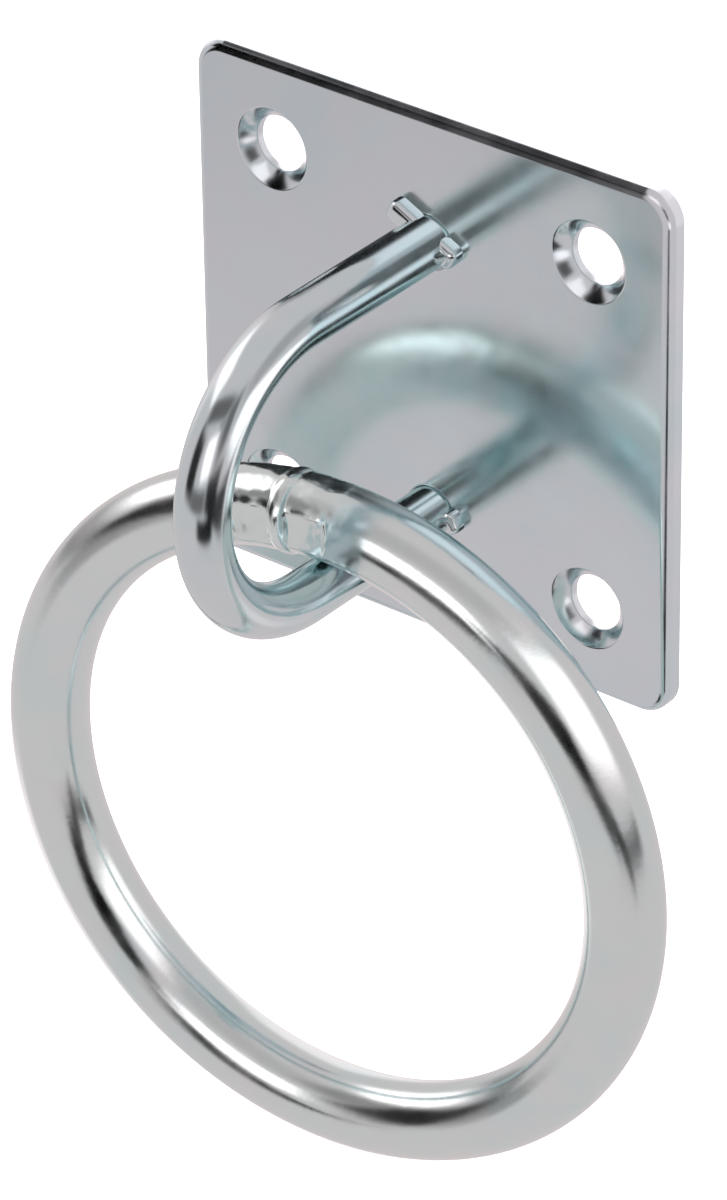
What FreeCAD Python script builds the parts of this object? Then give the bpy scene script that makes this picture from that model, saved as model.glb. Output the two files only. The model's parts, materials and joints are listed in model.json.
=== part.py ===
import FreeCAD, Part
import math
import os

# Ring on plate: a pressed square plate with four countersunk screw holes, a round wire
# staple riveted through it, and a butt-welded wire ring that hangs in the staple.
# Millimetres. The origin is the centre of the plate's back face.
# +Z is up, +Y goes into the wall, so the staple and the ring stand out towards -Y.

# Plate
PLATE_SIDE = 57.0
PLATE_THICKNESS = 2.3
PLATE_CORNER_RADIUS = 3.4
PLATE_ROLLED_EDGE = 1.0
PLATE_BACK_BURR = 0.15

# Screw holes, sunk from the front
SCREW_SPACING = 38.0
SCREW_BORE = 5.8
SCREW_SINK = 8.6
SCREW_SINK_ANGLE = 90.0

# Staple: one length of round wire with two legs and a round bend
STAPLE_WIRE = 5.5
LEG_SPACING = 30.0
LEG_STRAIGHT = 19.6

# Peened ends of the staple, in the back of the plate
HEAD_DIAMETER = 8.4
HEAD_DEPTH = 1.2
HEAD_BELOW_BACK = 0.1

# Broken edge of a leg's hole at the front
LEG_HOLE_BREAK = 0.3

# Ears squeezed out of each leg, left and right of it, which rest on the plate's front. On the
# upper leg they lie a little above the leg's axis, the left one higher. The lower leg mirrors it.
LEFT_EAR_REACH = 4.8
RIGHT_EAR_REACH = 3.8
EAR_LENGTH = 1.7
EAR_THICKNESS = 2.4
EAR_ROUNDING = 0.8
EAR_RISE = 1.1
EAR_TURN = 26.0

# Ring: round wire, welded end to end
RING_WIRE = 8.0
RING_INSIDE = 60.0
RING_FROM_PLATE = 16.3
RING_TURN = 4.2
RING_CLEARANCE = 0.3

# Weld of the ring, with the marks of the dies that gripped the wire beside it
WELD_ANGLE = -5.4
WELD_BEAD_WIDTH = 1.8
WELD_BEAD_RISE = 0.25
WELD_BEAD_FOOT = 0.05
DIE_MARK_LENGTH = 4.2
DIE_MARK_DEPTH = 0.45
DIE_MARK_SLOPE = 0.6
DIE_TO_WELD = 1.0

# Places worked out from the sizes
PLATE_FRONT = -PLATE_THICKNESS
LEG_HEIGHT = LEG_SPACING / 2
STAPLE_RADIUS = STAPLE_WIRE / 2
HEAD_FLARE = (HEAD_DIAMETER / 2 - STAPLE_RADIUS) / HEAD_DEPTH
BEND_Y = PLATE_FRONT - LEG_STRAIGHT
BEND_RADIUS = LEG_SPACING / 2
RING_WIRE_RADIUS = RING_WIRE / 2
RING_RADIUS = (RING_INSIDE + RING_WIRE) / 2
RING_TOP_Y = PLATE_FRONT - RING_FROM_PLATE
RING_TOP_Z = -LEG_HEIGHT + STAPLE_RADIUS + RING_CLEARANCE + RING_WIRE_RADIUS

# Cutting shapes run past the faces that they open by this much
OVERRUN = 1.0
# Two places or directions that differ by less are the same
CLOSE = 1e-6

ALONG_X = FreeCAD.Vector(1, 0, 0)
INTO_WALL = FreeCAD.Vector(0, 1, 0)
OUT_OF_WALL = FreeCAD.Vector(0, -1, 0)
UP = FreeCAD.Vector(0, 0, 1)


def point(x, y, z):
    return FreeCAD.Vector(x, y, z)


def edges_on_plane(edges, y):
    """Those of the edges that lie wholly at one depth from the wall."""
    return [edge for edge in edges if all(abs(v.Y - y) < CLOSE for v in edge.Vertexes)]


def edges_along(edges, direction):
    """Those of the edges that are straight and run along a direction."""
    found = []
    for edge in edges:
        if edge.Curve.TypeId == "Part::GeomLine":
            if abs(abs(edge.tangentAt(edge.FirstParameter).dot(direction)) - 1) < CLOSE:
                found.append(edge)
    return found


def turned_profile(points):
    """Solid of revolution about the Y axis from (radius, y) points."""
    corners = [point(radius, y, 0) for radius, y in points]
    face = Part.Face(Part.makePolygon(corners + corners[:1]))
    return face.revolve(point(0, 0, 0), INTO_WALL, 360)


def plate_blank():
    """Square blank with rounded corners, its front edge drawn over by the punch."""
    half = PLATE_SIDE / 2
    blank = Part.makeBox(PLATE_SIDE, PLATE_THICKNESS, PLATE_SIDE, point(-half, PLATE_FRONT, -half))
    blank = blank.makeFillet(PLATE_CORNER_RADIUS, edges_along(blank.Edges, INTO_WALL))
    blank = blank.makeFillet(PLATE_ROLLED_EDGE, edges_on_plane(blank.Edges, PLATE_FRONT))
    return blank.makeChamfer(PLATE_BACK_BURR, edges_on_plane(blank.Edges, 0))


def screw_hole():
    """What a screw hole takes away: a bore and a countersink at the front."""
    bore = SCREW_BORE / 2
    sink = SCREW_SINK / 2
    slope = math.tan(math.radians(SCREW_SINK_ANGLE / 2))
    sink_depth = (sink - bore) / slope
    return turned_profile(
        [
            (0, OVERRUN),
            (bore, OVERRUN),
            (bore, PLATE_FRONT + sink_depth),
            (sink, PLATE_FRONT),
            (sink + OVERRUN * slope, PLATE_FRONT - OVERRUN),
            (0, PLATE_FRONT - OVERRUN),
        ]
    )


def leg_hole():
    """What a leg's hole takes away: a bore, its broken edge and a seat for the peened head."""
    return turned_profile(
        [
            (0, PLATE_FRONT - OVERRUN),
            (STAPLE_RADIUS + LEG_HOLE_BREAK + OVERRUN, PLATE_FRONT - OVERRUN),
            (STAPLE_RADIUS, PLATE_FRONT + LEG_HOLE_BREAK),
            (STAPLE_RADIUS, -HEAD_DEPTH),
            (HEAD_DIAMETER / 2 + OVERRUN * HEAD_FLARE, OVERRUN),
            (0, OVERRUN),
        ]
    )


def make_plate():
    plate = plate_blank()
    half = SCREW_SPACING / 2
    for x in (-half, half):
        for z in (-half, half):
            plate = plate.cut(screw_hole().translated(point(x, 0, z)))
    for z in (-LEG_HEIGHT, LEG_HEIGHT):
        plate = plate.cut(leg_hole().translated(point(0, 0, z)))
    return plate


def staple_wire():
    """The bent wire, from one end at the plate's back round the bend to the other."""
    upper_end = point(0, -HEAD_DEPTH, LEG_HEIGHT)
    upper_bend = point(0, BEND_Y, LEG_HEIGHT)
    tip = point(0, BEND_Y - BEND_RADIUS, 0)
    lower_bend = point(0, BEND_Y, -LEG_HEIGHT)
    lower_end = point(0, -HEAD_DEPTH, -LEG_HEIGHT)
    path = Part.Wire(
        [
            Part.LineSegment(upper_end, upper_bend).toShape(),
            Part.Arc(upper_bend, tip, lower_bend).toShape(),
            Part.LineSegment(lower_bend, lower_end).toShape(),
        ]
    )
    section = Part.Wire(Part.Circle(upper_end, OUT_OF_WALL, STAPLE_RADIUS).toShape())
    return path.makePipeShell([section], True, True)


def peened_head():
    """End of a leg, hammered into its seat a little below the plate's back."""
    return turned_profile(
        [
            (0, -HEAD_DEPTH),
            (STAPLE_RADIUS, -HEAD_DEPTH),
            (HEAD_DIAMETER / 2 - HEAD_BELOW_BACK * HEAD_FLARE, -HEAD_BELOW_BACK),
            (0, -HEAD_BELOW_BACK),
        ]
    )


def ears():
    """Pair of ears across a leg, rounded wherever they stand off the plate."""
    front = PLATE_FRONT - EAR_LENGTH
    corner = point(-LEFT_EAR_REACH, front, EAR_RISE - EAR_THICKNESS / 2)
    bar = Part.makeBox(LEFT_EAR_REACH + RIGHT_EAR_REACH, EAR_LENGTH, EAR_THICKNESS, corner)
    ends = edges_along(bar.Edges, INTO_WALL)
    bar = bar.makeFillet(EAR_ROUNDING, ends + edges_on_plane(bar.Edges, front))
    return bar.rotated(point(0, 0, 0), INTO_WALL, EAR_TURN)


def make_staple():
    staple = staple_wire()
    upper_ears = ears().translated(point(0, 0, LEG_HEIGHT))
    lower_ears = upper_ears.mirror(point(0, 0, 0), UP)
    heads = [peened_head().translated(point(0, 0, z)) for z in (-LEG_HEIGHT, LEG_HEIGHT)]
    return staple.fuse([upper_ears, lower_ears] + heads).removeSplitter()


def weld_bead():
    """Low bead round the wire at the joint, made at the ring's top, where the wire runs along X."""
    half = WELD_BEAD_WIDTH / 2
    foot = RING_WIRE_RADIUS - WELD_BEAD_FOOT
    crest = RING_WIRE_RADIUS + WELD_BEAD_RISE
    crown = Part.Arc(point(-half, foot, 0), point(0, crest, 0), point(half, foot, 0)).toShape()
    sides = Part.makePolygon(
        [point(half, foot, 0), point(half, 0, 0), point(-half, 0, 0), point(-half, foot, 0)]
    )
    face = Part.Face(Part.Wire([crown] + sides.Edges))
    return face.revolve(point(0, 0, 0), ALONG_X, 360)


def die_marks():
    """Flats that the dies leave on the front and the back of the wire, both sides of the bead."""
    flat = RING_WIRE_RADIUS - DIE_MARK_DEPTH
    outside = RING_WIRE_RADIUS + OVERRUN
    slope = DIE_MARK_SLOPE * (outside - flat) / DIE_MARK_DEPTH
    start = DIE_TO_WELD
    end = DIE_TO_WELD + DIE_MARK_LENGTH
    marks = []
    for along in (-1, 1):
        for face in (-1, 1):
            outline = [
                point(along * start, face * flat, -RING_WIRE),
                point(along * end, face * flat, -RING_WIRE),
                point(along * (end + slope), face * outside, -RING_WIRE),
                point(along * start, face * outside, -RING_WIRE),
            ]
            side = Part.Face(Part.makePolygon(outline + outline[:1]))
            marks.append(side.extrude(UP * (2 * RING_WIRE)))
    return marks


def make_ring():
    """Ring made round the Y axis with its wire's top at the origin, then hung in the staple."""
    centre = point(0, 0, -RING_RADIUS)
    ring = Part.makeTorus(RING_RADIUS, RING_WIRE_RADIUS, centre, INTO_WALL)
    bead = weld_bead().rotated(centre, INTO_WALL, WELD_ANGLE)
    ring = ring.fuse(bead)
    for mark in die_marks():
        ring = ring.cut(mark.rotated(centre, INTO_WALL, WELD_ANGLE))
    ring = ring.rotated(point(0, 0, 0), UP, RING_TURN)
    return ring.translated(point(0, RING_TOP_Y, RING_TOP_Z))


def main():
    os.makedirs("parts", exist_ok=True)
    nodes = {"plate": make_plate(), "staple": make_staple(), "ring": make_ring()}
    for name, shape in nodes.items():
        shape.exportStep("parts/" + name + ".step")
        print(name, "solids", len(shape.Solids), "valid", shape.isValid(), "mm3", round(shape.Volume, 1))


main()
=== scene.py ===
import json
import math
from collections import namedtuple

import bmesh
import bpy
from bpy.props import FloatProperty, FloatVectorProperty, PointerProperty
from mathutils import Matrix, Vector

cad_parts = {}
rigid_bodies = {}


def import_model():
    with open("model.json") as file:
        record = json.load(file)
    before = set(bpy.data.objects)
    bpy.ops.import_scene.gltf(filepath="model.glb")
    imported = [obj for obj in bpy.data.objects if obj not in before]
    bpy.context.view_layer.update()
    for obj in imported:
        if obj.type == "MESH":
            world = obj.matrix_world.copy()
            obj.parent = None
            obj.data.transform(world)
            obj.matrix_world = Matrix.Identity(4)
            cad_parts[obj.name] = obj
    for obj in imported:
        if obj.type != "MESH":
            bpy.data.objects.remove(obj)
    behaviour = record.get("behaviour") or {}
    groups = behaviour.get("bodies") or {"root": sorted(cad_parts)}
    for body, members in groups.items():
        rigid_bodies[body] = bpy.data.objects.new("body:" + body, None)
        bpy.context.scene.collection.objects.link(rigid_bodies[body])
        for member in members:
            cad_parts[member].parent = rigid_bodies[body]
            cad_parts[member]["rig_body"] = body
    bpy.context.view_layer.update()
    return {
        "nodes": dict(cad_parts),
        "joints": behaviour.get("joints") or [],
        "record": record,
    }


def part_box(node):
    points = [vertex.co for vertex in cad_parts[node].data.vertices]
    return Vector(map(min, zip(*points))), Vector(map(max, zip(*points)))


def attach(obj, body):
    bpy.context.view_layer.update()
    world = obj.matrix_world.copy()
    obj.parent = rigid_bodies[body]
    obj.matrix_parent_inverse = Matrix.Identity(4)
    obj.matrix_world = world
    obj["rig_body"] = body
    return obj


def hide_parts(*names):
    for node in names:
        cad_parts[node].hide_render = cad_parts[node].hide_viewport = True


bl_info = {
    "name": "Ring on plate",
    "version": (1, 0, 0),
    "blender": (4, 5, 0),
    "location": "3D View > Sidebar > Ring on plate",
    "description": "Builds a zinc plated wall plate with a riveted wire staple and a welded ring",
    "category": "Add Mesh",
}

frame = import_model()
MM = 0.001

PLATE_LOW, PLATE_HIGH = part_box("plate")
RING_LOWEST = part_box("ring")[0].z
SCREWS = next(m for m in frame["record"]["mounts"] if m["name"] == "screws")["dims"]
SWING = frame["joints"][0]
RING_TOP = Vector(SWING["pos_m"])
RING_TURN = math.atan2(-SWING["axis"][1], -SWING["axis"][0])

# Shapes run past the faces that they cut open by this much
OVERRUN = 1.0 * MM
# Two places closer than this are the same, and places on a wire or a rim within the second
CLOSE = 0.002 * MM
NEAR = 5 * CLOSE

# Corners of a wire's round section
WIRE_CORNERS = 96
# Steps of the plate's corners, its rolled edge, the screw holes' rims and the leg holes' rims
CORNER_STEPS = 14
ROLL_STEPS = 6
HOLE_RIM_STEPS = 2
LEG_RIM_STEPS = 4
# Steps of the staple's bend, the ears' rounding, the weld's part of the ring and the rest of it
BEND_STEPS = 100
EAR_STEPS = 6
WELD_STEPS = 108
RING_STEPS = 320
# A crease sharper than this stays crisp
CREASE_ANGLE = math.radians(24)
# How far the plate's flat faces outweigh its narrow edges in the shading, 50 being even
FACE_WEIGHT = 80

# Peened head: the depth of its rounded edge, its gap to the seat, how far its middle bulges, and
# the share of its radius where the flat middle and the bulge end
HEAD_EDGE = 0.2 * MM
HEAD_GAP = 0.03 * MM
HEAD_BULGE = 0.03 * MM
HEAD_MIDDLE = 0.45
HEAD_SHOULDER = 0.8
# Length of a leg, from the plate, that holds the ears
EAR_ZONE = 4 * MM

# Uneven swellings round the weld: their size, their height and the level that stays as it is
SWELL_SIZE = 2.6 * MM
SWELL_HEIGHT = 0.22 * MM
SWELL_LEVEL = 0.60
# Dull skin of the weld: how far it reaches whole and at all, and the size and height of its grain
SKIN_WHOLE = 6.2 * MM
SKIN_REACH = 8.2 * MM
SKIN_GRAIN_MM = 2.4
SKIN_HEIGHT = 0.09 * MM


def linear(code):
    """Linear red, green and blue of an sRGB hex colour."""
    parts = [int(code[i:i + 2], 16) / 255 for i in (0, 2, 4)]
    return tuple(p / 12.92 if p <= 0.04045 else ((p + 0.055) / 1.055) ** 2.4 for p in parts)


def length(name, description, default_mm):
    """Length setting with its default in millimetres."""
    return FloatProperty(
        name=name, description=description, default=default_mm * MM, subtype="DISTANCE")


def tint(name, description, code):
    """Colour setting with its default as an sRGB hex colour."""
    return FloatVectorProperty(
        name=name, description=description, default=linear(code), size=3, min=0, max=1,
        subtype="COLOR")


class PlateSizes(bpy.types.PropertyGroup):
    """Sizes of the pressed plate"""

    side: length("Side", "Width and height of the square plate", (PLATE_HIGH.x - PLATE_LOW.x) / MM)
    thickness: length("Thickness", "Thickness of the sheet", (PLATE_HIGH.y - PLATE_LOW.y) / MM)
    corner: length("Corner", "Radius of the four corners", 3.4)
    rolled_edge: length("Rolled edge", "Radius that the punch draws over the front edge", 1.0)
    back_burr: length("Back edge", "Small break of the back edge", 0.15)
    screw_spacing: length(
        "Screw spacing", "Distance between neighbouring screw holes", SCREWS["spacing_x_mm"])
    screw_bore: length("Screw bore", "Radius of a screw hole", SCREWS["hole_r_mm"])
    screw_sink: length("Countersink", "Radius of a countersink at the front", 4.3)
    hole_rim: length("Hole rim", "Rounding of a screw hole's rims", 0.12)
    leg_rim: length("Leg hole rim", "Rounding of a leg hole's rim at the front", 0.3)


class StapleSizes(bpy.types.PropertyGroup):
    """Sizes of the riveted staple"""

    wire: length("Wire", "Radius of the staple's wire", 2.75)
    leg_height: length("Leg height", "Height of a leg above or below the middle", 15.0)
    leg_straight: length("Straight leg", "Length of a leg from the plate to the bend", 19.6)
    head_depth: length("Head depth", "Depth of a peened head in the plate", 1.2)
    head_below: length("Head below back", "Distance of a head below the plate's back", 0.1)
    head_radius: length("Head", "Radius of a peened head's seat at the back", 4.2)
    left_ear: length("Left ear", "Distance of the left ear's end from the leg's axis", 4.8)
    right_ear: length("Right ear", "Distance of the right ear's end from the leg's axis", 3.8)
    ear_length: length("Ear length", "How far an ear stands off the plate", 1.7)
    ear_thickness: length("Ear thickness", "Height of an ear", 2.4)
    ear_rounding: length("Ear rounding", "Rounding of the ears where they stand off the plate", 0.8)
    ear_rise: length("Ear rise", "How far the upper leg's ears lie above its axis", 1.1)
    ear_turn: FloatProperty(
        name="Ear turn", description="Turn of the upper leg's ears, left up and right down",
        default=math.radians(26), subtype="ANGLE")


class RingSizes(bpy.types.PropertyGroup):
    """Sizes of the welded ring"""

    wire: length("Wire", "Radius of the ring's wire", 4.0)
    radius: length("Ring", "Radius of the ring's centre line", 34.0)
    bead_width: length("Bead width", "Width of the weld bead", 1.8)
    bead_rise: length("Bead rise", "Height of the weld bead over the wire", 0.25)
    die_start: length("Die start", "Distance of a die mark from the weld", 1.0)
    die_length: length("Die mark", "Length of a die mark along the wire", 4.2)
    die_slope: length("Die slope", "Length over which a die mark runs out", 0.6)
    die_depth: length("Die depth", "Depth of a die mark", 0.45)
    weld_angle: FloatProperty(
        name="Weld angle", description="Place of the weld, from the ring's top towards the right",
        default=math.radians(-5.4), subtype="ANGLE")


class Finish(bpy.types.PropertyGroup):
    """Colours of the zinc, the floor and the light"""

    zinc: tint("Zinc", "Bright zinc with a clear passivation", "D5E7E8")
    zinc_blue: tint("Blue zinc", "Where the passivation is thick and looks blue-green", "CEE5E7")
    zinc_grey: tint("Grey zinc", "Where the plating is thin or rubbed", "D9E6E9")
    weld_grey: tint("Weld grey", "Zinc over the rough skin of the weld", "D6E9EA")
    floor: tint("Floor", "Pale floor", "FAFAFA")
    ring_light: tint("Ring light", "Light that the ring mirrors", "FFECEB")
    staple_light: tint("Staple light", "Light that the staple mirrors", "FFEDEF")
    plate_light: tint("Plate light", "Light that the plate mirrors", "FFECF0")


def deselect_all():
    """Leaves edit mode and deselects all objects."""
    if bpy.context.object and bpy.context.object.mode != "OBJECT":
        bpy.ops.object.mode_set(mode="OBJECT")
    bpy.ops.object.select_all(action="DESELECT")


def added(name, primitive, **settings):
    """Adds a primitive at its size and place, names it and puts its place into its mesh."""
    deselect_all()
    primitive(**settings)
    piece = bpy.context.object
    piece.name = name
    piece.data.name = name
    bpy.ops.object.transform_apply(location=True, rotation=True, scale=True)
    return piece


def edit(piece):
    """Puts one piece alone into edit mode."""
    deselect_all()
    bpy.context.view_layer.objects.active = piece
    piece.select_set(True)
    bpy.ops.object.mode_set(mode="EDIT")


def leave_edit():
    """Goes back to object mode."""
    bpy.ops.object.mode_set(mode="OBJECT")


def pick(kind, fits):
    """Selects only the vertices or edges that fit, in edit mode, and tells how many they are."""
    bpy.ops.mesh.select_mode(type=kind)
    bpy.ops.mesh.select_all(action="DESELECT")
    shape = bmesh.from_edit_mesh(bpy.context.object.data)
    elements = {"VERT": shape.verts, "EDGE": shape.edges}[kind]
    found = [element for element in elements if fits(element)]
    for element in found:
        element.select_set(True)
    shape.select_flush_mode()
    bmesh.update_edit_mesh(bpy.context.object.data)
    return len(found)


def ends(edge):
    """Places of the two ends of an edge."""
    return [vertex.co for vertex in edge.verts]


def at_depth(y):
    """Test for an edge that lies wholly at one depth from the wall."""
    return lambda edge: all(abs(place.y - y) < CLOSE for place in ends(edge))


def runs_inward(edge):
    """Test for an edge that runs from the plate's front to its back."""
    start, end = ends(edge)
    return abs(start.y - end.y) > CLOSE


def around(x, z, radius, y):
    """Test for an edge on a circle round a hole's or a leg's axis, at one depth."""
    def fits(edge):
        return at_depth(y)(edge) and all(
            abs(math.hypot(place.x - x, place.z - z) - radius) < NEAR for place in ends(edge))
    return fits


def round_edges(fits, radius, steps):
    """Rounds the edges that fit, in edit mode."""
    pick("EDGE", fits)
    bpy.ops.mesh.bevel(offset=radius, segments=steps, affect="EDGES", profile=0.5)


def draw_wire(x, z, stations):
    """Draws the selected loop on along Y, through (y, radius) stations from the first one."""
    for before, after in zip(stations, stations[1:]):
        step = (0, after[0] - before[0], 0)
        bpy.ops.mesh.extrude_region_move(TRANSFORM_OT_translate={"value": step})
        share = after[1] / before[1]
        bpy.ops.transform.resize(value=(share, 1, share), center_override=(x, after[0], z))


def spin(steps, angle, centre, axis):
    """Spins the selected loop about an axis, a positive angle turning as a right-hand screw."""
    bpy.ops.mesh.spin(steps=steps, angle=-angle, center=centre, axis=axis, dupli=False)


def change_with(piece, tool, operation):
    """Cuts a tool shape out of a piece or joins it to it, and removes the tool."""
    deselect_all()
    bpy.context.view_layer.objects.active = piece
    change = piece.modifiers.new(operation.lower(), "BOOLEAN")
    change.operation = operation
    change.object = tool
    change.solver = "EXACT"
    bpy.ops.object.modifier_apply(modifier=change.name)
    bpy.data.objects.remove(tool)


def close_up(piece):
    """Merges doubles and turns all faces outwards."""
    edit(piece)
    bpy.ops.mesh.select_all(action="SELECT")
    bpy.ops.mesh.remove_doubles(threshold=CLOSE / 2)
    bpy.ops.mesh.normals_make_consistent(inside=False)
    leave_edit()


def smooth(piece):
    """Shades a piece smooth and keeps its sharp creases."""
    deselect_all()
    bpy.context.view_layer.objects.active = piece
    piece.select_set(True)
    bpy.ops.object.shade_smooth_by_angle(angle=CREASE_ANGLE)


def stand_for(piece, node_name, metal):
    """Gives a finished piece its metal and the place of the CAD node that it stands for."""
    piece.data.materials.clear()
    piece.data.materials.append(metal)
    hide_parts(node_name)
    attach(piece, frame["nodes"][node_name]["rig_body"])


def cutters(name, x, z, stations, moves):
    """A hole's shape, round and along Y through (y, radius) stations, doubled by each move."""
    y, radius = stations[0]
    cutter = added(
        name, bpy.ops.mesh.primitive_circle_add, vertices=WIRE_CORNERS, radius=radius,
        fill_type="NGON", location=(x, y, z), rotation=(math.pi / 2, 0, 0))
    edit(cutter)
    bpy.ops.mesh.select_all(action="SELECT")
    draw_wire(x, z, stations)
    for move in moves:
        bpy.ops.mesh.select_all(action="SELECT")
        bpy.ops.mesh.duplicate_move(TRANSFORM_OT_translate={"value": move})
    bpy.ops.mesh.select_all(action="SELECT")
    bpy.ops.mesh.normals_make_consistent(inside=False)
    leave_edit()
    return cutter


def sink_floor(sizes):
    """Depth from the wall at which a countersink of 90 degrees meets its bore."""
    return PLATE_LOW.y + (sizes.screw_sink - sizes.screw_bore)


def screw_cutters(sizes):
    """Shapes of the four countersunk screw holes."""
    corner = -sizes.screw_spacing / 2
    stations = [
        (PLATE_LOW.y - OVERRUN, sizes.screw_sink + OVERRUN),
        (sink_floor(sizes), sizes.screw_bore),
        (PLATE_HIGH.y + OVERRUN, sizes.screw_bore),
    ]
    moves = [(sizes.screw_spacing, 0, 0), (0, 0, sizes.screw_spacing)]
    return cutters("screw_cutters", corner, corner, stations, moves)


def seat_flare(staple):
    """How much a peened head's seat widens for each unit that it runs towards the back."""
    return (staple.head_radius - staple.wire) / staple.head_depth


def leg_cutters(staple):
    """Shapes of the two holes for the staple's legs, with their seats at the back."""
    stations = [
        (PLATE_LOW.y - OVERRUN, staple.wire),
        (-staple.head_depth, staple.wire),
        (OVERRUN, staple.head_radius + OVERRUN * seat_flare(staple)),
    ]
    moves = [(0, 0, 2 * staple.leg_height)]
    return cutters("leg_cutters", 0, -staple.leg_height, stations, moves)


def press_plate(sizes, staple):
    """Square sheet with rounded corners, its front edge drawn over, and its six holes."""
    front, back = PLATE_LOW.y, PLATE_HIGH.y
    plate = added(
        "pressed_plate", bpy.ops.mesh.primitive_cube_add, size=1,
        location=(0, (front + back) / 2, 0), scale=(sizes.side, sizes.thickness, sizes.side))
    edit(plate)
    round_edges(runs_inward, sizes.corner, CORNER_STEPS)
    round_edges(at_depth(front), sizes.rolled_edge, ROLL_STEPS)
    round_edges(at_depth(back), sizes.back_burr, 1)
    leave_edit()
    change_with(plate, screw_cutters(sizes), "DIFFERENCE")
    change_with(plate, leg_cutters(staple), "DIFFERENCE")
    half = sizes.screw_spacing / 2
    rims = ((sizes.screw_sink, front), (sizes.screw_bore, sink_floor(sizes)))
    edit(plate)
    for x in (-half, half):
        for z in (-half, half):
            for radius, y in rims:
                round_edges(around(x, z, radius, y), sizes.hole_rim, HOLE_RIM_STEPS)
    for z in (-staple.leg_height, staple.leg_height):
        round_edges(around(0, z, staple.wire, front), sizes.leg_rim, LEG_RIM_STEPS)
    leave_edit()
    close_up(plate)
    smooth(plate)
    weigh = plate.modifiers.new("weigh", "WEIGHTED_NORMAL")
    weigh.keep_sharp = True
    weigh.weight = FACE_WEIGHT
    bpy.ops.object.modifier_apply(modifier=weigh.name)
    return plate


def staple_ears(sizes, side):
    """Pair of ears across a leg, 1 for the upper leg and -1 for the lower, its mirror image."""
    front = PLATE_LOW.y
    outer = front - sizes.ear_length
    x = (sizes.right_ear - sizes.left_ear) / 2
    z = side * sizes.leg_height
    ears = added(
        "ears", bpy.ops.mesh.primitive_cube_add, size=1,
        location=(x, (front + outer) / 2, z + side * sizes.ear_rise),
        scale=(sizes.left_ear + sizes.right_ear, sizes.ear_length, sizes.ear_thickness))
    edit(ears)
    round_edges(lambda edge: not at_depth(front)(edge), sizes.ear_rounding, EAR_STEPS)
    bpy.ops.mesh.select_all(action="SELECT")
    bpy.ops.transform.rotate(
        value=-side * sizes.ear_turn, orient_axis="Y", center_override=(0, front, z))
    leave_edit()
    return ears


def bend_staple(sizes):
    """One length of wire from head to head: a leg, the round bend and the other leg."""
    front = PLATE_LOW.y
    bend_y = front - sizes.leg_straight
    rim_y = -sizes.head_below - HEAD_EDGE
    rim = sizes.head_radius + rim_y * seat_flare(sizes) - HEAD_GAP
    head = [
        (-sizes.head_below, rim * HEAD_MIDDLE),
        (-sizes.head_below - HEAD_BULGE, rim * HEAD_SHOULDER),
        (rim_y, rim),
        (-sizes.head_depth, sizes.wire),
    ]
    leg = [(y, sizes.wire) for y in (-sizes.head_depth, front, front - EAR_ZONE, bend_y)]
    top = sizes.leg_height
    staple = added(
        "riveted_staple", bpy.ops.mesh.primitive_circle_add, vertices=WIRE_CORNERS,
        radius=head[0][1], fill_type="NOTHING", location=(0, head[0][0], top),
        rotation=(math.pi / 2, 0, 0))
    edit(staple)
    bpy.ops.mesh.select_all(action="SELECT")
    draw_wire(0, top, head + leg[1:])
    spin(BEND_STEPS, math.pi, (0, bend_y, 0), (1, 0, 0))
    draw_wire(0, -top, leg[::-1] + head[::-1][1:])
    for z in (top, -top):
        pick("EDGE", around(0, z, head[0][1], head[0][0]))
        bpy.ops.mesh.edge_face_add()
    leave_edit()
    close_up(staple)
    for side in (1, -1):
        change_with(staple, staple_ears(sizes, side), "UNION")
    close_up(staple)
    smooth(staple)
    return staple


def ring_centre(sizes):
    """Centre of the ring."""
    return RING_TOP - Vector((0, 0, sizes.radius))


def on_ring(sizes, place):
    """Where a place lies on the ring: distance along the wire from the weld, and depth."""
    centre = ring_centre(sizes)
    angle = math.atan2(place.x - centre.x, place.z - centre.z) - sizes.weld_angle
    angle = (angle + math.pi) % (2 * math.pi) - math.pi
    return sizes.radius * angle, place.y - centre.y


def wire_centre(sizes, along):
    """The point on the ring's centre line at a distance along the wire from the weld."""
    angle = sizes.weld_angle + along / sizes.radius
    return ring_centre(sizes) + sizes.radius * Vector((math.sin(angle), 0, math.cos(angle)))


def raise_bead(sizes, stations):
    """Swells the wire into the weld's low bead, station by station."""
    half = sizes.bead_width / 2
    for along in stations:
        if abs(along) < half:
            rise = sizes.bead_rise * (1 - (along / half) ** 2)
            share = 1 + rise / sizes.wire
            pick("VERT", lambda vertex: abs(on_ring(sizes, vertex.co)[0] - along) < NEAR)
            bpy.ops.transform.resize(value=(share,) * 3, center_override=wire_centre(sizes, along))


def press_flat(sizes, nearest, furthest, flat):
    """Flattens the wire's front and back between two distances from the weld."""
    for side in (-1, 1):
        def proud(vertex):
            along, depth = on_ring(sizes, vertex.co)
            return nearest <= abs(along) <= furthest and depth * side > flat
        if pick("VERT", proud):
            bpy.ops.transform.resize(
                value=(1, 0, 1), center_override=(0, RING_TOP.y + side * flat, 0))


def press_die_marks(sizes, stations):
    """Presses the marks of the gripping dies on both sides of the bead, and lets them run out."""
    end = sizes.die_start + sizes.die_length
    press_flat(sizes, sizes.die_start, end, sizes.wire - sizes.die_depth)
    for along in stations:
        if end < along < end + sizes.die_slope:
            depth = sizes.die_depth * (1 - (along - end) / sizes.die_slope)
            press_flat(sizes, along - NEAR, along + NEAR, sizes.wire - depth)


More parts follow.
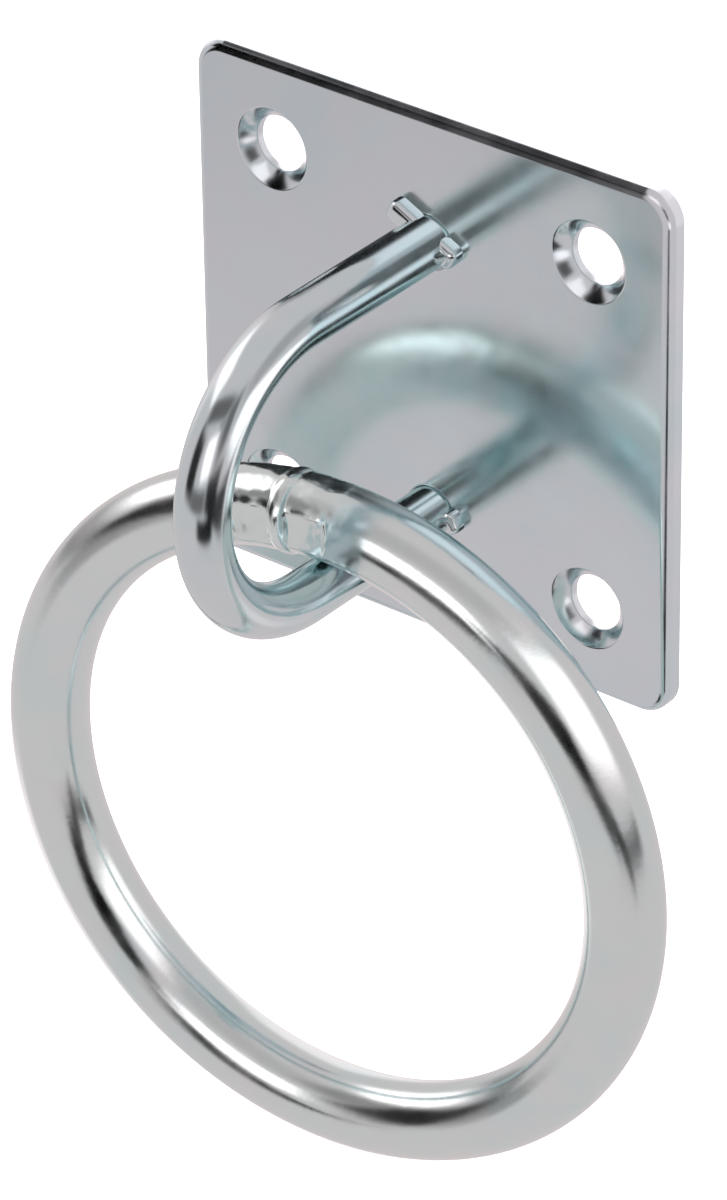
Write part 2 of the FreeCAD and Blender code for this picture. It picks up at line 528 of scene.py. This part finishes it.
def roughen_weld(ring, sizes):
    """Small uneven swellings where the wire was heated and gripped."""
    reach = sizes.die_start + sizes.die_length + sizes.die_slope
    zone = ring.vertex_groups.new(name="weld")
    for vertex in ring.data.vertices:
        along = abs(on_ring(sizes, vertex.co)[0])
        if along < reach:
            zone.add([vertex.index], min(1, (reach - along) / sizes.die_slope), "REPLACE")
    grain = bpy.data.textures.new("weld_grain", "CLOUDS")
    grain.noise_scale = SWELL_SIZE
    grain.noise_depth = 1
    swell = ring.modifiers.new("swell", "DISPLACE")
    swell.texture = grain
    swell.texture_coords = "LOCAL"
    swell.vertex_group = zone.name
    swell.strength = SWELL_HEIGHT
    swell.mid_level = SWELL_LEVEL
    bpy.context.view_layer.objects.active = ring
    bpy.ops.object.modifier_apply(modifier=swell.name)
    ring.vertex_groups.clear()


def weld_ring(sizes):
    """Wire bent round, with the weld, the marks of the dies and the turn at rest."""
    reach = sizes.die_start + sizes.die_length + 2 * sizes.die_slope
    start = sizes.weld_angle - reach / sizes.radius
    stations = [reach * (2 * i / WELD_STEPS - 1) for i in range(WELD_STEPS + 1)]
    centre = ring_centre(sizes)
    ring = added(
        "welded_ring", bpy.ops.mesh.primitive_circle_add, vertices=WIRE_CORNERS,
        radius=sizes.wire, fill_type="NOTHING", location=wire_centre(sizes, -reach),
        rotation=(0, math.pi / 2 + start, 0))
    edit(ring)
    bpy.ops.mesh.select_all(action="SELECT")
    fine = 2 * reach / sizes.radius
    spin(WELD_STEPS, fine, centre, (0, 1, 0))
    raise_bead(sizes, stations)
    press_die_marks(sizes, stations)
    pick("VERT", lambda vertex: abs(on_ring(sizes, vertex.co)[0] - reach) < NEAR)
    spin(RING_STEPS, 2 * math.pi - fine, centre, (0, 1, 0))
    leave_edit()
    roughen_weld(ring, sizes)
    edit(ring)
    bpy.ops.mesh.select_all(action="SELECT")
    bpy.ops.transform.rotate(value=-RING_TURN, orient_axis="Z", center_override=RING_TOP)
    leave_edit()
    close_up(ring)
    smooth(ring)
    return ring


def new_material(name):
    """Empty material and its node tree."""
    material = bpy.data.materials.new(name)
    material.use_nodes = True
    material.node_tree.nodes.clear()
    return material, material.node_tree


def add(tree, kind, inputs=None, **settings):
    """Adds a node with its settings. Each input is a value, another node or one of its outputs."""
    made = tree.nodes.new(kind)
    for name, value in settings.items():
        setattr(made, name, value)
    for socket, value in (inputs or {}).items():
        if isinstance(value, bpy.types.Node):
            value = value.outputs[0]
        if isinstance(value, bpy.types.NodeSocket):
            tree.links.new(value, made.inputs[socket])
        else:
            made.inputs[socket].default_value = value
    return made


def per_metre(size_mm):
    """Noise scale that gives spots of about a size in millimetres."""
    return 1 / (size_mm * MM)


def mixed(tree, share, first, second):
    """Blends two colours, inputs 6 and 7 of a mix node, by a share."""
    blend = add(tree, "ShaderNodeMix", {0: share, 6: first, 7: second}, data_type="RGBA")
    return blend.outputs[2]


# How one piece's zinc looks: the size in millimetres of its patches of colour, its clouds of dull
# zinc, its grain and its waves, the height in millimetres of the last two, and its roughness
ZincLook = namedtuple(
    "ZincLook",
    "patch_mm cloud_mm grain_mm grain_height wave_mm wave_height smoothest roughest")


def zinc_material(name, look, colours, weld_place=None):
    """Bright zinc: patches of clear and blue passivation over metal, with a fine skin."""
    material, tree = new_material(name)
    place = tree.nodes.new("ShaderNodeTexCoord").outputs["Object"]
    patches = add(tree, "ShaderNodeTexNoise", {
        "Vector": place, "Scale": per_metre(look.patch_mm), "Detail": 3.0, "Roughness": 0.55})
    clouds = add(tree, "ShaderNodeTexNoise", {
        "Vector": place, "Scale": per_metre(look.cloud_mm), "Detail": 2.0, "Roughness": 0.5})
    grain = add(tree, "ShaderNodeTexNoise", {
        "Vector": place, "Scale": per_metre(look.grain_mm), "Detail": 4.0, "Roughness": 0.65})
    blue = add(tree, "ShaderNodeMapRange", {
        "Value": patches, "From Min": 0.40, "From Max": 0.66})
    grey = add(tree, "ShaderNodeMapRange", {
        "Value": clouds, "From Min": 0.42, "From Max": 0.70, "To Max": 0.75})
    plated = mixed(tree, blue, (*colours.zinc, 1), (*colours.zinc_blue, 1))
    plated = mixed(tree, grey, plated, (*colours.zinc_grey, 1))
    rough = add(tree, "ShaderNodeMapRange", {
        "Value": clouds, "From Min": 0.3, "From Max": 0.7,
        "To Min": look.smoothest, "To Max": look.roughest})
    height = add(
        tree, "ShaderNodeMath", {0: grain, 1: look.grain_height * MM}, operation="MULTIPLY")
    wave = add(tree, "ShaderNodeTexNoise", {
        "Vector": place, "Scale": per_metre(look.wave_mm), "Detail": 1.0, "Roughness": 0.4})
    height = add(
        tree, "ShaderNodeMath", {0: wave, 1: look.wave_height * MM, 2: height},
        operation="MULTIPLY_ADD")
    if weld_place:
        offset = add(tree, "ShaderNodeVectorMath", {0: place, 1: weld_place}, operation="SUBTRACT")
        distance = add(tree, "ShaderNodeVectorMath", {0: offset}, operation="LENGTH")
        weld = add(
            tree, "ShaderNodeMapRange",
            {"Value": distance.outputs["Value"], "From Min": SKIN_REACH, "From Max": SKIN_WHOLE},
            interpolation_type="SMOOTHSTEP")
        plated = mixed(tree, weld, plated, (*colours.weld_grey, 1))
        skin = add(tree, "ShaderNodeTexNoise", {
            "Vector": place, "Scale": per_metre(SKIN_GRAIN_MM), "Detail": 1.5, "Roughness": 0.5})
        skin = add(tree, "ShaderNodeMath", {0: skin, 1: weld}, operation="MULTIPLY")
        height = add(
            tree, "ShaderNodeMath", {0: skin, 1: SKIN_HEIGHT, 2: height}, operation="MULTIPLY_ADD")
    # The heights are in metres, so they are taken whole
    normal = add(tree, "ShaderNodeBump", {"Strength": 1.0, "Distance": 1.0, "Height": height})
    metal = add(tree, "ShaderNodeBsdfPrincipled", {
        "Base Color": plated, "Metallic": 1.0, "Roughness": rough, "Normal": normal})
    add(tree, "ShaderNodeOutputMaterial", {"Surface": metal})
    return material


def sheet_zinc(colours):
    # Bright zinc on cold rolled sheet: a silver face with a slight blue cast, that mirrors
    # what stands on it and blurs it with distance
    look = ZincLook(
        patch_mm=16, cloud_mm=5, grain_mm=0.5, grain_height=0.0012,
        wave_mm=9, wave_height=0.010, smoothest=0.14, roughest=0.21)
    return zinc_material("bright_zinc_pressed_sheet", look, colours)


def staple_zinc(colours):
    # Bright zinc on drawn and bent wire: the smoothest of the three, with hard long highlights
    look = ZincLook(
        patch_mm=11, cloud_mm=4, grain_mm=0.6, grain_height=0.0015,
        wave_mm=5, wave_height=0.010, smoothest=0.11, roughest=0.18)
    return zinc_material("bright_zinc_bent_wire", look, colours)


def ring_zinc(colours, weld_place):
    # Bright zinc on thick wire bent to a ring: satin, so the edges of the highlights look fuzzy,
    # and dull and uneven round the weld
    look = ZincLook(
        patch_mm=14, cloud_mm=5, grain_mm=0.9, grain_height=0.009,
        wave_mm=7, wave_height=0.014, smoothest=0.13, roughest=0.22)
    return zinc_material("bright_zinc_welded_wire", look, colours, weld_place)


# A soft box or, where it is dark, a black flag: its middle as seen from the object (azimuth from
# straight in front towards the right, and elevation), its half width, half height and turn, all
# in degrees, then its brightness and the share of it that fades out. A later one lies over the
# earlier ones.
SoftBox = namedtuple("SoftBox", "azimuth elevation half_width half_height turn level fade")

# Brightness of each piece's tent between its soft boxes, and of the room that lights the floor
RING_TENT = 0.77
STAPLE_TENT = 0.73
PLATE_TENT = 0.75
ROOM_LIGHT = 2.2

RING_LIGHTS = [
    SoftBox(15, 60, 60, 28, 0, 0.62, 0.80),
    SoftBox(85, 30, 41, 23, -2, 1.80, 0.50),
    SoftBox(-86, 29, 22, 24, 0, 2.50, 0.60),
    SoftBox(-152, 5, 20, 34, 6, 1.20, 0.60),
    SoftBox(-104, -41, 28, 10, -8, 1.20, 0.60),
    SoftBox(-82, -4, 36, 10, 0, 0.36, 0.70),
    SoftBox(-50, -14, 18, 10, -25, 0.40, 0.60),
    SoftBox(-48, 40, 20, 16, 0, 0.34, 0.70),
    SoftBox(-47, 10, 22, 24, -6, 0.02, 0.55),
    SoftBox(-5, 17, 18, 15, 0, 2.30, 0.35),
    SoftBox(92, -8, 28, 7, 6, 0.12, 0.60),
    SoftBox(62, -9, 20, 9, -25, 0.03, 0.60),
    SoftBox(-12, -5, 19, 7, 42, 0.00, 0.45),
    SoftBox(40, -4, 18, 12, -10, 0.03, 0.60),
    SoftBox(23, 4, 24, 16, 4, 0.00, 0.45),
]

STAPLE_LIGHTS = [
    SoftBox(-100, 20, 24, 34, -10, 0.95, 0.60),
    SoftBox(-80, 42, 32, 16, 28, 1.70, 0.55),
    SoftBox(112, 28, 36, 22, 0, 0.50, 0.70),
    SoftBox(-146, 20, 22, 20, 0, 0.35, 0.60),
    SoftBox(128, -42, 16, 12, 0, 0.92, 0.70),
    SoftBox(10, 48, 44, 11, 0, 0.16, 0.60),
    SoftBox(62, 24, 15, 24, 0, 0.20, 0.65),
    SoftBox(60, -8, 26, 13, -8, 0.04, 0.50),
    SoftBox(-24, 12, 21, 25, -6, 0.02, 0.50),
    SoftBox(12, -6, 36, 10, -4, 0.16, 0.60),
    SoftBox(44, 30, 12, 12, 0, 0.40, 0.60),
    SoftBox(26, 18, 18, 15, 0, 1.90, 0.45),
    SoftBox(45, -25, 34, 9, 0, 0.01, 0.50),
    SoftBox(110, -6, 34, 12, -36, 1.80, 0.50),
    SoftBox(84, -20, 42, 8, -12, 0.02, 0.50),
]

PLATE_LIGHTS = [
    SoftBox(-110, 14, 26, 18, 6, 1.10, 0.50),
    SoftBox(145, 14, 28, 45, -10, 1.00, 0.50),
    SoftBox(-160, 34, 42, 18, 0, 2.00, 0.45),
    SoftBox(-136, -6, 18, 26, 0, 2.00, 0.50),
    SoftBox(-92, 60, 38, 9, 4, 0.00, 0.50),
    SoftBox(-36, -12, 18, 19, 0, 0.64, 0.50),
    SoftBox(-51, 34, 24, 20, 0, 0.00, 0.40),
    SoftBox(-41, 4, 16, 24, 0, 0.00, 0.35),
    SoftBox(3, 44, 20, 15, 0, 1.35, 0.40),
    SoftBox(41, 17, 11, 19, 22, 0.08, 0.40),
    SoftBox(52, -11, 12, 11, 0, 1.50, 0.45),
    SoftBox(10, -48, 21, 11, 0, 0.00, 0.35),
    SoftBox(34, -36, 20, 11, 40, 0.00, 0.35),
]

# Middle of the object, which the soft boxes face
LIT_POINT = Vector((0, -0.02, -0.03))
# Radius of the ring's tent, and how far each of the others stands outside the one before it
TENT_RADIUS = 0.9
TENT_GAP = 0.02
# A direction that faces a soft box by less than this lies behind it
BEHIND = 0.001
# Width of the floor, and how far it lies below the ring
FLOOR_SIZE = 12
FLOOR_GAP = 2 * MM


def aim(azimuth, elevation):
    """Unit vector from the object at an azimuth and elevation in degrees."""
    a, e = math.radians(azimuth), math.radians(elevation)
    return Vector((math.sin(a) * math.cos(e), -math.cos(a) * math.cos(e), math.sin(e)))


def paint_box(tree, outward, below, box):
    """Paints one soft box on the tent, over the brightness that is below it."""
    middle = aim(box.azimuth, box.elevation)
    right = Vector((0, 0, 1)).cross(middle).normalized()
    turn = Matrix.Rotation(math.radians(box.turn), 3, middle)
    sideways = turn @ right
    upward = turn @ middle.cross(right)
    facing = add(tree, "ShaderNodeVectorMath", {0: outward, 1: middle}, operation="DOT_PRODUCT")
    facing = add(
        tree, "ShaderNodeMath", {0: facing.outputs["Value"], 1: BEHIND}, operation="MAXIMUM")
    shares = []
    for direction, half in ((sideways, box.half_width), (upward, box.half_height)):
        reach = direction / math.tan(math.radians(half))
        across = add(tree, "ShaderNodeVectorMath", {0: outward, 1: reach}, operation="DOT_PRODUCT")
        across = add(
            tree, "ShaderNodeMath", {0: across.outputs["Value"], 1: facing}, operation="DIVIDE")
        across = add(tree, "ShaderNodeMath", {0: across}, operation="ABSOLUTE")
        shares.append(add(
            tree, "ShaderNodeMapRange",
            {"Value": across, "From Min": 1.0, "From Max": 1 - box.fade},
            interpolation_type="SMOOTHSTEP"))
    share = add(tree, "ShaderNodeMath", {0: shares[0], 1: shares[1]}, operation="MULTIPLY")
    return add(tree, "ShaderNodeMapRange", {"Value": share, "To Min": below, "To Max": box.level})


def tent_material(name, level, boxes, colour):
    """Light of a white tent with soft boxes and flags behind it, which adds to what is beyond."""
    material, tree = new_material(name)
    place = tree.nodes.new("ShaderNodeNewGeometry").outputs["Position"]
    outward = add(tree, "ShaderNodeVectorMath", {0: place, 1: LIT_POINT}, operation="SUBTRACT")
    brightness = level
    for box in boxes:
        brightness = paint_box(tree, outward, brightness, box)
    glow = add(tree, "ShaderNodeEmission", {"Color": (*colour, 1), "Strength": brightness})
    clear = add(tree, "ShaderNodeBsdfTransparent")
    both = add(tree, "ShaderNodeAddShader", {0: glow, 1: clear})
    add(tree, "ShaderNodeOutputMaterial", {"Surface": both})
    material.cycles.emission_sampling = "NONE"
    return material


def raise_tent(piece, level, boxes, colour, radius):
    """Puts up the tent whose light only one piece of the object mirrors."""
    name = "tent_" + piece.name
    tent = added(
        name, bpy.ops.mesh.primitive_uv_sphere_add, segments=48, ring_count=24, radius=radius,
        location=LIT_POINT)
    tent.data.materials.append(tent_material(name, level, boxes, colour))
    for ray in ("camera", "diffuse", "transmission", "volume_scatter", "shadow"):
        setattr(tent, "visible_" + ray, False)
    lit = bpy.data.collections.new(name + "_lights")
    lit.objects.link(piece)
    tent.light_linking.receiver_collection = lit


def lay_floor(colour):
    """Pale floor just under the ring, so evenly lit that no shadow shows."""
    floor = added(
        "floor", bpy.ops.mesh.primitive_plane_add, size=FLOOR_SIZE,
        location=(0, 0, RING_LOWEST - FLOOR_GAP))
    material, tree = new_material("pale_floor")
    paint = add(tree, "ShaderNodeBsdfDiffuse", {"Color": (*colour, 1)})
    add(tree, "ShaderNodeOutputMaterial", {"Surface": paint})
    floor.data.materials.append(material)
    floor.visible_glossy = False


def light_room(strength):
    """White room round the floor, which the metal doesn't mirror."""
    world = bpy.data.worlds.new("white_room")
    bpy.context.scene.world = world
    world.use_nodes = True
    backdrop = world.node_tree.nodes["Background"]
    backdrop.inputs["Color"].default_value = (1, 1, 1, 1)
    backdrop.inputs["Strength"].default_value = strength
    world.cycles_visibility.glossy = False


# Camera of the photograph: where it stands from the point that it aims at, in degrees and metres
CAMERA_AZIMUTH = 38.582
CAMERA_ELEVATION = 31.411
CAMERA_ROLL = -0.875
CAMERA_DISTANCE = 0.7095
CAMERA_TARGET = Vector((-0.01038, 0, -0.02998))
CAMERA_LENS = 213.69
CAMERA_RANGE = (0.01, 20)


def place_camera():
    """Sets up the camera of the photograph."""
    back = aim(CAMERA_AZIMUTH, CAMERA_ELEVATION)
    right = (-back).cross(Vector((0, 0, 1))).normalized()
    up = right.cross(-back)
    roll = math.radians(CAMERA_ROLL)
    rolled_right = right * math.cos(roll) + up * math.sin(roll)
    rolled_up = up * math.cos(roll) - right * math.sin(roll)
    data = bpy.data.cameras.new("camera")
    camera = bpy.data.objects.new("camera", data)
    bpy.context.scene.collection.objects.link(camera)
    turned = Matrix((rolled_right, rolled_up, back)).transposed()
    stand = CAMERA_TARGET + back * CAMERA_DISTANCE
    camera.matrix_world = Matrix.Translation(stand) @ turned.to_4x4()
    data.lens = CAMERA_LENS
    data.clip_start, data.clip_end = CAMERA_RANGE
    bpy.context.scene.camera = camera


class PressPlate(bpy.types.Operator):
    """Press the square plate with its screw holes"""

    bl_idname = "ring_on_plate.press_plate"
    bl_label = "Press plate"

    def execute(self, context):
        scene = context.scene
        plate = press_plate(scene.plate_sizes, scene.staple_sizes)
        stand_for(plate, "plate", sheet_zinc(scene.finish))
        return {"FINISHED"}


class BendStaple(bpy.types.Operator):
    """Bend the staple and rivet it into the plate"""

    bl_idname = "ring_on_plate.bend_staple"
    bl_label = "Bend staple"

    def execute(self, context):
        scene = context.scene
        staple = bend_staple(scene.staple_sizes)
        stand_for(staple, "staple", staple_zinc(scene.finish))
        return {"FINISHED"}


class WeldRing(bpy.types.Operator):
    """Bend the ring, weld it and hang it in the staple"""

    bl_idname = "ring_on_plate.weld_ring"
    bl_label = "Weld ring"

    def execute(self, context):
        scene = context.scene
        sizes = scene.ring_sizes
        ring = weld_ring(sizes)
        turn = Matrix.Rotation(RING_TURN, 3, "Z")
        weld_place = turn @ (wire_centre(sizes, 0) - RING_TOP) + RING_TOP
        stand_for(ring, "ring", ring_zinc(scene.finish, weld_place))
        return {"FINISHED"}


class SetStage(bpy.types.Operator):
    """Lay the floor, light the pieces and place the camera"""

    bl_idname = "ring_on_plate.set_stage"
    bl_label = "Set stage"

    def execute(self, context):
        colours = context.scene.finish
        lay_floor(colours.floor)
        light_room(ROOM_LIGHT)
        tents = (
            ("welded_ring", RING_TENT, RING_LIGHTS, colours.ring_light),
            ("riveted_staple", STAPLE_TENT, STAPLE_LIGHTS, colours.staple_light),
            ("pressed_plate", PLATE_TENT, PLATE_LIGHTS, colours.plate_light),
        )
        for index, (name, level, boxes, colour) in enumerate(tents):
            radius = TENT_RADIUS + index * TENT_GAP
            raise_tent(context.scene.objects[name], level, boxes, colour, radius)
        place_camera()
        context.scene.view_settings.view_transform = "Standard"
        return {"FINISHED"}


class RingOnPlatePanel(bpy.types.Panel):
    """Builds the ring on plate and its stage"""

    bl_idname = "VIEW3D_PT_ring_on_plate"
    bl_label = "Ring on plate"
    bl_space_type = "VIEW_3D"
    bl_region_type = "UI"
    bl_category = "Ring on plate"

    def draw(self, context):
        for group in GROUPS:
            settings = getattr(context.scene, group)
            box = self.layout.box()
            for name in settings.bl_rna.properties.keys():
                if name not in ("rna_type", "name"):
                    box.prop(settings, name)
        for step in STEPS:
            self.layout.operator(step.bl_idname)


GROUPS = {
    "plate_sizes": PlateSizes,
    "staple_sizes": StapleSizes,
    "ring_sizes": RingSizes,
    "finish": Finish,
}
STEPS = [PressPlate, BendStaple, WeldRing, SetStage]


def register():
    """Registers the settings, the operators and the panel."""
    for made in (*GROUPS.values(), *STEPS, RingOnPlatePanel):
        bpy.utils.register_class(made)
    for name, group in GROUPS.items():
        setattr(bpy.types.Scene, name, PointerProperty(type=group))


def unregister():
    """Takes back what register does."""
    for name in GROUPS:
        delattr(bpy.types.Scene, name)
    for made in (RingOnPlatePanel, *STEPS[::-1], *list(GROUPS.values())[::-1]):
        bpy.utils.unregister_class(made)


def main():
    """Builds the object and its stage."""
    register()
    bpy.ops.ring_on_plate.press_plate()
    bpy.ops.ring_on_plate.bend_staple()
    bpy.ops.ring_on_plate.weld_ring()
    bpy.ops.ring_on_plate.set_stage()
    deselect_all()


if __name__ == "__main__":
    main()
